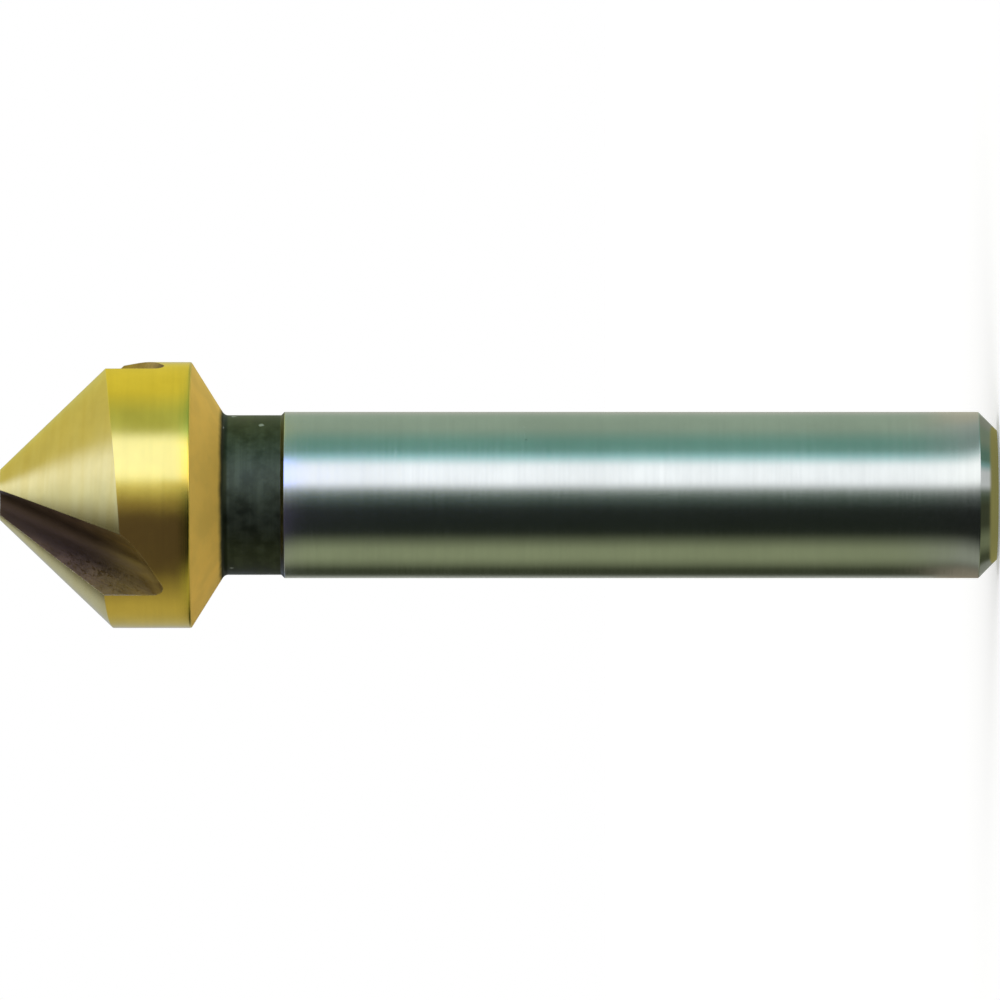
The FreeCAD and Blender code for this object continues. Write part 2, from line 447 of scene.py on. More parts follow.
def calc(tree, operation, *values, clamp=False):
    """Add a maths node and return its output."""
    inputs = dict(enumerate(values))
    node = add_node(tree, "ShaderNodeMath", inputs, operation=operation, use_clamp=clamp)
    return node.outputs[0]


def calc_vector(tree, operation, *values):
    """Add a vector maths node and return its vector output."""
    node = add_node(tree, "ShaderNodeVectorMath", dict(enumerate(values)), operation=operation)
    return node.outputs["Value" if operation in {"LENGTH", "DOT_PRODUCT"} else "Vector"]


def split(tree, place):
    """The three parts of a place, as outputs named X, Y and Z."""
    return add_node(tree, "ShaderNodeSeparateXYZ", {0: place}).outputs


def combine(tree, x, y, z):
    """A place from its three parts."""
    return add_node(tree, "ShaderNodeCombineXYZ", {"X": x, "Y": y, "Z": z}).outputs[0]


def measured_in(tree, place, x, y, z):
    """A place measured in steps of the given length along each axis."""
    return calc_vector(tree, "DIVIDE", place, combine(tree, x, y, z))


def from_axis(tree, parts):
    """Distance of a place from the Z axis."""
    return calc_vector(tree, "LENGTH", combine(tree, parts["X"], parts["Y"], 0.0))


def turned(tree, place, axis, angle):
    """A place turned about one axis."""
    inputs = {"Vector": place, "Angle": angle}
    return add_node(tree, "ShaderNodeVectorRotate", inputs, rotation_type=axis).outputs[0]


def noise_at(tree, place, detail, roughness=0.5, scale=1.0):
    """A cloud of random values at a place."""
    inputs = {"Vector": place, "Scale": scale, "Detail": detail, "Roughness": roughness}
    return add_node(tree, "ShaderNodeTexNoise", inputs).outputs[0]


def fade(tree, value, low, high, to_low=0.0, to_high=1.0):
    """Carry a value smoothly from one range to another."""
    inputs = {"Value": value, "From Min": low, "From Max": high}
    inputs |= {"To Min": to_low, "To Max": to_high}
    node = add_node(tree, "ShaderNodeMapRange", inputs, interpolation_type="SMOOTHSTEP")
    return node.outputs["Result"]


def blend_colour(tree, mask, first, second):
    """Mix two colours by a mask."""
    inputs = {0: mask, 6: first, 7: second}
    return add_node(tree, "ShaderNodeMix", inputs, data_type="RGBA").outputs[2]


def blend_value(tree, mask, first, second):
    """Mix two values by a mask."""
    inputs = {0: mask, 2: first, 3: second}
    return add_node(tree, "ShaderNodeMix", inputs, data_type="FLOAT").outputs[0]


def row_of_cards(tree, value, cards, half):
    """Lay out cards as a ramp of colours, from one half turn or one radius back to as much on."""
    ramp = add_node(tree, "ShaderNodeValToRGB", {"Fac": value})
    elements = ramp.color_ramp.elements
    elements.remove(elements[-1])
    edges = [(0.5 + edge / half / 2, card[2]) for card in cards for edge in sorted(set(card[:2]))]
    for number, (place, colour) in enumerate(edges):
        element = elements.new(place) if number else elements[0]
        element.position = place
        element.color = (*colour, 1.0)
    return ramp.outputs["Color"]


def start_group(name, inputs, outputs):
    """Make a shader node group with named sockets; return its tree, its inputs and its outputs."""
    old = bpy.data.node_groups.get(name)
    if old:
        bpy.data.node_groups.remove(old)
    tree = bpy.data.node_groups.new(name, "ShaderNodeTree")
    for label, kind, default in inputs:
        socket = tree.interface.new_socket(name=label, in_out="INPUT", socket_type=kind)
        if default is not None:
            socket.default_value = default
    for label, kind in outputs:
        tree.interface.new_socket(name=label, in_out="OUTPUT", socket_type=kind)
    return tree, tree.nodes.new("NodeGroupInput").outputs, tree.nodes.new("NodeGroupOutput").inputs


def use_group(tree, name, **inputs):
    """Place a node group with its own values; underscores stand for spaces in socket names."""
    node = tree.nodes.new("ShaderNodeGroup")
    node.node_tree = bpy.data.node_groups[name]
    for label, value in inputs.items():
        link_or_set(tree, node.inputs[label.replace("_", " ")], value)
    return node.outputs


FLOAT, COLOUR, VECTOR = "NodeSocketFloat", "NodeSocketColor", "NodeSocketVector"


def make_wheel_lines_group():
    """Fine lines round the axis, as turning and grinding leave them."""
    tree, given, out = start_group(
        "wheel_lines",
        (
            ("Position", VECTOR, None),
            ("Pitch", FLOAT, 0.0001),
            ("Run", FLOAT, 0.006),
            ("Lean", FLOAT, 0.4),
        ),
        (("Lines", FLOAT),),
    )
    parts = split(tree, given["Position"])
    reach = calc(tree, "MULTIPLY", from_axis(tree, parts), given["Lean"])
    leaning = combine(tree, parts["X"], parts["Y"], calc(tree, "ADD", parts["Z"], reach))
    place = measured_in(tree, leaning, given["Run"], given["Run"], given["Pitch"])
    lines = fade(tree, noise_at(tree, place, detail=2.0, roughness=0.6), NOISE_LOW, NOISE_HIGH)
    link_or_set(tree, out["Lines"], lines)


def make_flute_lines_group():
    """Fine lines along the flutes, as their wheel leaves them, and a mask of their roots for
    painted shade.
    """
    tree, given, out = start_group(
        "flute_lines",
        (
            ("Position", VECTOR, None),
            ("Pitch", FLOAT, 0.0001),
            ("Run", FLOAT, 0.006),
            ("Slope", FLOAT, 0.5),
            ("Root Reach", FLOAT, 0.03),
            ("Gullet", FLOAT, 0.0006),
        ),
        (("Lines", FLOAT), ("Root", FLOAT)),
    )
    parts = split(tree, given["Position"])
    turn = calc(tree, "ADD", calc(tree, "ARCTAN2", parts["Y"], parts["X"]), BEFORE_FACE)
    sector = calc(tree, "FLOOR", calc(tree, "DIVIDE", turn, SECTOR))
    first = turned(tree, given["Position"], "Z_AXIS", calc(tree, "MULTIPLY", sector, -SECTOR))
    along = turned(tree, first, "Y_AXIS", given["Slope"])
    place = measured_in(tree, along, given["Pitch"], given["Pitch"], given["Run"])
    lines = fade(tree, noise_at(tree, place, detail=2.0, roughness=0.6), NOISE_LOW, NOISE_HIGH)
    link_or_set(tree, out["Lines"], lines)
    spot = split(tree, along)
    outward = calc(tree, "SUBTRACT", spot["X"], given["Root Reach"])
    sideways = calc(tree, "SUBTRACT", spot["Y"], given["Gullet"])
    away = calc_vector(tree, "LENGTH", combine(tree, outward, sideways, 0.0))
    radii = calc(tree, "DIVIDE", away, given["Gullet"])
    link_or_set(tree, out["Root"], fade(tree, radii, ROOT_SHADE_FADES_AT, ROOT_SHADE_FULL_AT))


def make_edge_wear_group():
    """Where edges are: the finish is rubbed thin there, in patches."""
    tree, given, out = start_group(
        "edge_wear",
        (
            ("Position", VECTOR, None),
            ("Width", FLOAT, 0.00006),
            ("Amount", FLOAT, 1.0),
            ("Patch Size", FLOAT, 0.0006),
        ),
        (("Wear", FLOAT), ("Rounded", VECTOR)),
    )
    rounded = add_node(tree, "ShaderNodeBevel", {"Radius": given["Width"]}, samples=6).outputs[0]
    true_normal = tree.nodes.new("ShaderNodeNewGeometry").outputs["Normal"]
    edge = fade(tree, calc_vector(tree, "DOT_PRODUCT", rounded, true_normal), 0.995, 0.93)
    size = given["Patch Size"]
    place = measured_in(tree, given["Position"], size, size, size)
    patches = fade(tree, noise_at(tree, place, detail=3.0), NOISE_LOW, 0.62)
    patchy = calc(tree, "MULTIPLY", edge, patches)
    worn = calc(tree, "MULTIPLY", patchy, given["Amount"], clamp=True)
    link_or_set(tree, out["Wear"], worn)
    link_or_set(tree, out["Rounded"], rounded)


def make_specks_group():
    """Small scattered spots: pits and nicks."""
    tree, given, out = start_group(
        "specks",
        (
            ("Position", VECTOR, None),
            ("Spacing", FLOAT, 0.002),
            ("Share", FLOAT, 0.2),
            ("Spot", FLOAT, 0.12),
        ),
        (("Spots", FLOAT),),
    )
    size = given["Spacing"]
    place = measured_in(tree, given["Position"], size, size, size)
    wobble = add_node(tree, "ShaderNodeTexNoise", {"Vector": place, "Scale": 6.0, "Detail": 2.0})
    shift = calc_vector(tree, "MULTIPLY", wobble.outputs["Color"], (0.15, 0.15, 0.15))
    place = calc_vector(tree, "ADD", place, shift)
    cells = add_node(tree, "ShaderNodeTexVoronoi", {"Vector": place, "Scale": 1.0}).outputs
    chance = add_node(tree, "ShaderNodeSeparateColor", {0: cells["Color"]}).outputs[0]
    picked = calc(tree, "LESS_THAN", chance, given["Share"])
    spot = fade(tree, cells["Distance"], given["Spot"], calc(tree, "MULTIPLY", given["Spot"], 0.6))
    link_or_set(tree, out["Spots"], calc(tree, "MULTIPLY", spot, picked))


def make_hairlines_group():
    """Short thin scratches that run one way, as handling and chuck jaws leave them."""
    tree, given, out = start_group(
        "hairlines",
        (
            ("Position", VECTOR, None),
            ("Turn", VECTOR, (0.0, 0.0, 0.0)),
            ("Breadth", FLOAT, 0.0001),
            ("Length", FLOAT, 0.004),
            ("Share", FLOAT, 0.3),
        ),
        (("Scratches", FLOAT),),
    )
    inputs = {"Vector": given["Position"], "Rotation": given["Turn"]}
    lying = add_node(tree, "ShaderNodeVectorRotate", inputs, rotation_type="EULER_XYZ").outputs[0]
    place = measured_in(tree, lying, given["Breadth"], given["Length"], given["Length"])
    limit = calc(tree, "SUBTRACT", 0.9, calc(tree, "MULTIPLY", given["Share"], 0.4))
    scratches = fade(tree, noise_at(tree, place, detail=1.0), limit, calc(tree, "ADD", limit, 0.05))
    link_or_set(tree, out["Scratches"], scratches)


def make_mottle_group():
    """Slow change between two shades of one finish."""
    tree, given, out = start_group(
        "mottle",
        (
            ("Position", VECTOR, None),
            ("Size", FLOAT, 0.003),
            ("Shade A", COLOUR, (0.5, 0.5, 0.5, 1)),
            ("Shade B", COLOUR, (0.6, 0.6, 0.6, 1)),
        ),
        (("Shade", COLOUR), ("Cloud", FLOAT)),
    )
    size = given["Size"]
    place = measured_in(tree, given["Position"], size, size, size)
    cloud = fade(tree, noise_at(tree, place, detail=4.0, roughness=0.55), NOISE_LOW, NOISE_HIGH)
    link_or_set(tree, out["Cloud"], cloud)
    link_or_set(tree, out["Shade"], blend_colour(tree, cloud, given["Shade A"], given["Shade B"]))


def scaled(colour, factor):
    """A darker or lighter shade of a colour, with full alpha."""
    return (*(min(part * factor, 1.0) for part in colour), 1.0)


def length_setting(name, description, default):
    """A length that the sidebar shows, in metres."""
    return bpy.props.FloatProperty(
        name=name, description=description, unit="LENGTH", default=default
    )


def angle_setting(name, description, degrees):
    """An angle that the sidebar shows, given in degrees."""
    return bpy.props.FloatProperty(
        name=name, description=description, subtype="ANGLE", default=math.radians(degrees)
    )


def colour_setting(name, description, default):
    """A colour that the sidebar shows."""
    return bpy.props.FloatVectorProperty(
        name=name, description=description, subtype="COLOR", default=default
    )


def share_setting(name, description, default):
    """A value between 0 and 1 that the sidebar shows."""
    return bpy.props.FloatProperty(
        name=name, description=description, min=0.0, max=1.0, default=default
    )


class BitShapeSettings(bpy.types.PropertyGroup):
    """Sizes of the ground head, as the bit's source has them."""

    head_radius: length_setting("Head radius", "Radius of the round head", BIT_RADIUS)
    tip_radius: length_setting("Tip radius", "Radius of the flat at the tip", 1.6 * MM)
    relief_tilt: angle_setting("Relief tilt", "Tilt of the cone that relieves a land", 2.4)
    land_middle: angle_setting("Land middle", "Turn from an edge back to its land's middle", 44.0)
    flute_angle: angle_setting("Flute angle", "Angle between a flute's face and its back", 66.0)
    flute_slope: angle_setting("Flute slope", "Angle between a flute's root and the axis", 31.8)
    flute_core: length_setting("Flute core", "Distance from the axis to a flute's root", 0.45 * MM)
    gullet_radius: length_setting("Gullet radius", "Radius in a flute's root", 0.6 * MM)
    runout_reach: length_setting("Runout reach", "Radius at the centre of a round end", 8.9 * MM)
    runout_height: length_setting("Runout height", "Height at the centre of a round end", 54.0 * MM)


class BitFinishSettings(bpy.types.PropertyGroup):
    """Colours, roughness and limits of the bit's four finishes."""

    steel: colour_setting("Ground steel", "Colour of the ground shank", (0.52, 0.54, 0.52))
    skin: colour_setting("Neck skin", "Colour of the dark skin on the neck", (0.070, 0.082, 0.046))
    gold: colour_setting("Gold coating", "Colour of the coated head", (0.82, 0.60, 0.10))
    gold_edge: colour_setting("Gold edge", "Tint of the gold at a low angle", (1.0, 0.95, 0.70))
    rear: colour_setting("Rear coating", "Colour of the coated rear cone", (0.95, 0.63, 0.13))
    # The lands' paler colour is a painted highlight.
    land: colour_setting("Land coating", "Colour of the coated lands", (0.82, 0.70, 0.31))
    # The flutes' dark brown is partly painted shade of the recess.
    flute: colour_setting("Flute coating", "Colour of the coated flutes", (0.25, 0.158, 0.085))
    steel_roughness: share_setting("Steel roughness", "Roughness of the ground shank", 0.15)
    skin_roughness: share_setting("Skin roughness", "Roughness of the neck's skin", 0.38)
    gold_roughness: share_setting("Gold roughness", "Roughness of the coated head", 0.15)
    flute_roughness: share_setting("Flute roughness", "Roughness of the coated flutes", 0.44)
    skin_start: length_setting("Skin start", "Height where the ground shank ends", 42.88 * MM)
    gold_start: length_setting("Gold start", "Height where the gold coating begins", 46.70 * MM)
    rim_height: length_setting("Rim height", "Height of the rim over the rear cone", 48.5 * MM)
    land_start: length_setting("Land start", "Height above which the lands are", 52.45 * MM)


class BitStageSettings(bpy.types.PropertyGroup):
    """Sizes and colours of the floor, the reflecting tent, the lamp and the camera."""

    camera_turn: angle_setting("Camera turn", "Camera's angle round the bit", -71.5)
    camera_distance: length_setting("Camera distance", "Camera's distance from the bit", 0.8)
    frame_width: length_setting("Frame width", "Width of the picture at the bit", 60.13 * MM)
    frame_drop: length_setting("Frame drop", "How far the bit is above the middle", 0.3 * MM)
    frame_shift: length_setting("Frame shift", "How far the bit is left of the middle", 0.05 * MM)
    paper: colour_setting("Paper", "Colour of the floor", (0.84, 0.84, 0.83))
    wall_radius: length_setting("Wall radius", "Radius of the tent's low wall", 80 * MM)
    tent_radius: length_setting("Tent radius", "Radius of the tent that the bit mirrors", 0.24)
    lamp_spread: angle_setting("Lamp spread", "How wide and so how soft the lamp is", 50)
    lamp_strength: bpy.props.FloatProperty(
        name="Lamp strength", description="Strength of the lamp that casts the shadow", default=1.3
    )


class FinishDraft:
    """A finish in the making: its node tree, and what every finish of the bit starts from."""

    def __init__(self, name, wear, lines="wheel_lines", **way):
        self.material = bpy.data.materials.new(name)
        self.material.use_nodes = True
        self.tree = self.material.node_tree
        self.shader = self.tree.nodes["Principled BSDF"]
        source = self.tree.nodes.new("ShaderNodeTexCoord").outputs
        self.place = source["Object"]
        self.facing = source["Normal"]
        self.height = split(self.tree, self.place)["Z"]
        self.worn = self.use("edge_wear", Width=0.07 * MM, Amount=wear)
        self.fine = self.use(lines, Pitch=0.045 * MM, Run=5 * MM, **way)["Lines"]
        self.broad = self.use(lines, Pitch=0.32 * MM, Run=9 * MM, **way)["Lines"]

    def use(self, group, **inputs):
        """Place one of the bit's node groups at the surface's own place."""
        return use_group(self.tree, group, Position=self.place, **inputs)

    def mottle(self, colour, size, dark, light):
        """A colour that changes slowly between a darker and a lighter shade."""
        shades = {"Shade_A": scaled(colour, dark), "Shade_B": scaled(colour, light)}
        return self.use("mottle", Size=size, **shades)

    def lay(self, under, over, mask, share, shade=1.0):
        """Lay a share of one colour, in a darker or lighter shade, over another where a mask is."""
        part = calc(self.tree, "MULTIPLY", mask, share)
        return blend_colour(self.tree, part, under, scaled(over, shade))

    def add_up(self, start, *masks):
        """Add shares of masks, given in pairs, to a value."""
        for mask, share in masks:
            start = calc(self.tree, "ADD", start, calc(self.tree, "MULTIPLY", mask, share))
        return start

    def finish(self, colour, roughness, rise, distance):
        """Feed the shader, and return the material."""
        tree, shader = self.tree, self.shader
        link_or_set(tree, shader.inputs["Base Color"], colour)
        link_or_set(tree, shader.inputs["Roughness"], roughness)
        bump = {"Strength": 1.0, "Distance": distance, "Height": rise}
        bump["Normal"] = self.worn["Rounded"]
        bumped = add_node(tree, "ShaderNodeBump", bump).outputs[0]
        link_or_set(tree, shader.inputs["Normal"], bumped)
        shader.inputs["Metallic"].default_value = 1.0
        shader.inputs["Anisotropic"].default_value = 0.5
        tangent = add_node(tree, "ShaderNodeTangent", direction_type="RADIAL", axis="Z")
        link_or_set(tree, shader.inputs["Tangent"], tangent.outputs[0])
        return self.material


def make_ground_steel(sizes):
    """Bright ground steel with fine wheel lines and light marks from chuck jaws."""
    draft = FinishDraft("ground_steel", wear=0.5)
    steel = draft.mottle(sizes.steel, 6 * MM, dark=0.93, light=1.05)
    lying = {"Turn": (0.0, 1.45, 0.2), "Breadth": 0.04 * MM, "Length": 2.5 * MM}
    jaw = draft.use("hairlines", Share=0.25, **lying)["Scratches"]
    pits = draft.use("specks", Spacing=1.1 * MM, Share=0.05, Spot=0.07)["Spots"]
    colour = draft.lay(steel["Shade"], sizes.steel, draft.broad, share=0.3, shade=0.9)
    colour = draft.lay(colour, sizes.steel, pits, share=0.5, shade=0.45)
    colour = draft.lay(colour, sizes.steel, draft.worn["Wear"], share=0.5, shade=1.25)
    rough = draft.add_up(sizes.steel_roughness, (draft.fine, 0.06), (jaw, 0.10))
    rise = draft.add_up(draft.fine, (draft.broad, 0.8), (jaw, -0.5), (pits, -1.2))
    return draft.finish(colour, rough, rise, 0.0003 * MM)


def make_neck_finish_and_painted_shade(sizes):
    """The dark skin of hardening on the turned neck, with a few bright nicks, and painted shade in
    the fillet under the rear cone.
    """
    draft = FinishDraft("neck_finish_and_painted_shade", wear=0.4)
    skin = draft.mottle(sizes.skin, 0.9 * MM, dark=0.65, light=1.3)
    nicks = draft.use("specks", Spacing=1.2 * MM, Share=0.10, Spot=0.17)["Spots"]
    gold_start = sizes.gold_start
    # Painted shade: the skin darkens in the fillet just below where the gold begins.
    corner = fade(draft.tree, draft.height, gold_start - 0.50 * MM, gold_start - 0.32 * MM)
    colour = draft.lay(skin["Shade"], sizes.skin, draft.broad, share=0.4, shade=0.6)
    colour = draft.lay(colour, sizes.skin, corner, share=0.7, shade=0.25)
    colour = draft.lay(colour, sizes.steel, nicks, share=0.75, shade=0.9)
    colour = draft.lay(colour, sizes.steel, draft.worn["Wear"], share=0.5, shade=0.7)
    rough = draft.add_up(sizes.skin_roughness, (skin["Cloud"], 0.12))
    rise = draft.add_up(0.0, (draft.fine, 0.6), (draft.broad, 1.6), (nicks, -1.5))
    return draft.finish(colour, rough, rise, 0.0008 * MM)


def make_gold_finish_with_painted_highlight_and_shade(sizes):
    """Gold hard coating: paler on the lands as a painted highlight, duller on the rear cone and
    thin along the edges, with painted shade in the fillet below it.
    """
    draft = FinishDraft("gold_finish_with_painted_highlight_and_shade", wear=0.8)
    tree = draft.tree
    wobble = calc(tree, "SUBTRACT", noise_at(tree, draft.place, detail=3.0, scale=900.0), 0.5)
    ragged = draft.add_up(draft.height, (wobble, 0.16 * MM))
    is_gold = fade(tree, ragged, sizes.gold_start - 0.12 * MM, sizes.gold_start + 0.16 * MM)
    high = fade(tree, draft.height, sizes.land_start - 0.1 * MM, sizes.land_start + 0.1 * MM)
    # Painted highlight: the lands, which face up, get a paler gold.
    upward = split(tree, draft.facing)["Z"]
    land_painted_highlight = calc(tree, "MULTIPLY", fade(tree, upward, 0.60, 0.65), high)
    is_rear = fade(tree, draft.height, sizes.rim_height + 0.03 * MM, sizes.rim_height - 0.12 * MM)
    gold = draft.mottle(sizes.gold, 2.6 * MM, dark=0.93, light=1.04)
    land = draft.mottle(sizes.land, 1.8 * MM, dark=0.94, light=1.03)
    rear = draft.mottle(sizes.rear, 1.8 * MM, dark=0.93, light=1.04)
    pits = draft.use("specks", Spacing=0.9 * MM, Share=0.06, Spot=0.08)["Spots"]
    colour = blend_colour(tree, land_painted_highlight, gold["Shade"], land["Shade"])
    colour = draft.lay(colour, sizes.gold, draft.broad, share=0.22, shade=0.82)
    colour = draft.lay(colour, sizes.gold, pits, share=0.6, shade=0.4)
    colour = draft.lay(colour, RUBBED_GOLD, draft.worn["Wear"], share=0.6)
    colour = blend_colour(tree, calc(tree, "MULTIPLY", is_rear, 0.9), colour, rear["Shade"])
    # Painted shade: below the gold, the fillet takes a darker skin, as on the neck.
    colour = blend_colour(tree, is_gold, scaled(sizes.skin, 0.5), colour)
    rough = draft.add_up(sizes.gold_roughness, (gold["Cloud"], 0.05))
    rough = blend_value(tree, is_gold, sizes.skin_roughness, rough)
    rough = draft.add_up(rough, (is_rear, 0.45))
    rise = draft.add_up(0.0, (draft.fine, 0.8), (draft.broad, 0.8), (pits, -1.2))
    draft.shader.inputs["Specular Tint"].default_value = (*sizes.gold_edge, 1.0)
    material = draft.finish(colour, rough, rise, 0.0004 * MM)
    metallic = fade(tree, is_rear, 0.0, 1.0, to_low=1.0, to_high=0.55)
    link_or_set(tree, draft.shader.inputs["Metallic"], metallic)
    return material


def make_flute_finish_and_painted_shade(sizes):
    """The coating in the flutes: duller and lined along the flute, browner and darker partly as
    painted shade of the recess, with more painted shade in the root.
    """
    shape = bpy.context.scene.bit_shape
    slope = shape.flute_slope
    gullet = shape.gullet_radius
    reach = gullet + shape.flute_core * math.cos(slope) + BIT_LENGTH * math.sin(slope)
    draft = FinishDraft("flute_finish_and_painted_shade", wear=0.7, lines="flute_lines", Slope=slope)
    tree = draft.tree
    root = draft.use("flute_lines", Slope=slope, Root_Reach=reach, Gullet=gullet)["Root"]
    # The flute's painted shade gives way to gold towards its shallow end, and the painted shade in
    # its root grows higher up.
    outward = fade(tree, draft.height, 56 * MM, 51.5 * MM)
    upward = fade(tree, draft.height, 51.8 * MM, 54.6 * MM, to_low=0.35, to_high=0.85)
    flute = draft.mottle(sizes.flute, 1.3 * MM, dark=0.75, light=1.15)
    colour = draft.lay(flute["Shade"], sizes.gold, outward, share=0.55, shade=0.8)
    colour = draft.lay(colour, sizes.flute, draft.broad, share=0.35, shade=0.6)
    # Painted shade: the flute's root is darkened.
    colour = draft.lay(colour, sizes.flute, root, share=upward, shade=0.38)
    colour = draft.lay(colour, RUBBED_GOLD, draft.worn["Wear"], share=0.6)
    rough = draft.add_up(sizes.flute_roughness, (flute["Cloud"], 0.08), (root, 0.15))
    rise = draft.add_up(draft.fine, (draft.broad, 1.2))
    return draft.finish(colour, rough, rise, 0.0005 * MM)


class COUNTERSINK_OT_make_bit(bpy.types.Operator):
    """Make the bit: turned shank, neck and head, ground point, and its four finishes"""

    bl_idname = "countersink.make_bit"
    bl_label = "Make Bit"

    def execute(self, context):
        for make in (
            make_wheel_lines_group,
            make_flute_lines_group,
            make_edge_wear_group,
            make_specks_group,
            make_hairlines_group,
            make_mottle_group,
        ):
            make()
        scene = context.scene
        draft = draft_bit(scene.bit_shape, scene.bit_finish)
        mesh = bpy.data.meshes.new("bit")
        mesh.from_pydata(draft.points, [], draft.faces)
        if mesh.validate():
            raise RuntimeError("the bit's mesh has faults")
        for make in (make_ground_steel, make_neck_finish_and_painted_shade, make_gold_finish_with_painted_highlight_and_shade, make_flute_finish_and_painted_shade):
            mesh.materials.append(make(scene.bit_finish))
        mesh.polygons.foreach_set("material_index", draft.finishes)
        mesh.shade_smooth()
        mesh.set_sharp_from_angle(angle=SHARP_EDGE)
        bit = bpy.data.objects.new("bit", mesh)
        scene.collection.objects.link(bit)
        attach(bit, "root")
        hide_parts(NODE)
        return {"FINISHED"}


def ring_mesh(name, profile, segments):
    """Turn a profile of (radius, height) points into a surface round Z; a radius of 0 closes it."""
    verts, faces, rings = [], [], []
    for radius, height in profile:
        if radius == 0:
            rings.append([len(verts)] * segments)
            verts.append((0.0, 0.0, height))
        else:
            rings.append([len(verts) + step for step in range(segments)])
            for step in range(segments):
                turn = 2 * math.pi * step / segments
                verts.append((radius * math.cos(turn), radius * math.sin(turn), height))
    for low, high in zip(rings, rings[1:]):
        for step in range(segments):
            after = (step + 1) % segments
            corners = dict.fromkeys((low[step], low[after], high[after], high[step]))
            faces.append(tuple(corners))
    mesh = bpy.data.meshes.new(name)
    mesh.from_pydata(verts, [], faces)
    mesh.shade_smooth()
    piece = bpy.data.objects.new(name, mesh)
    bpy.context.scene.collection.objects.link(piece)
    return piece


def seen_rays(tree):
    """A mask of 1 for rays that show the background: the camera's, mirrored and passed on ones."""
    path = tree.nodes.new("ShaderNodeLightPath").outputs
    shown = calc(tree, "MAXIMUM", path["Is Camera Ray"], path["Is Glossy Ray"])
    return calc(tree, "MAXIMUM", shown, path["Is Transmission Ray"])


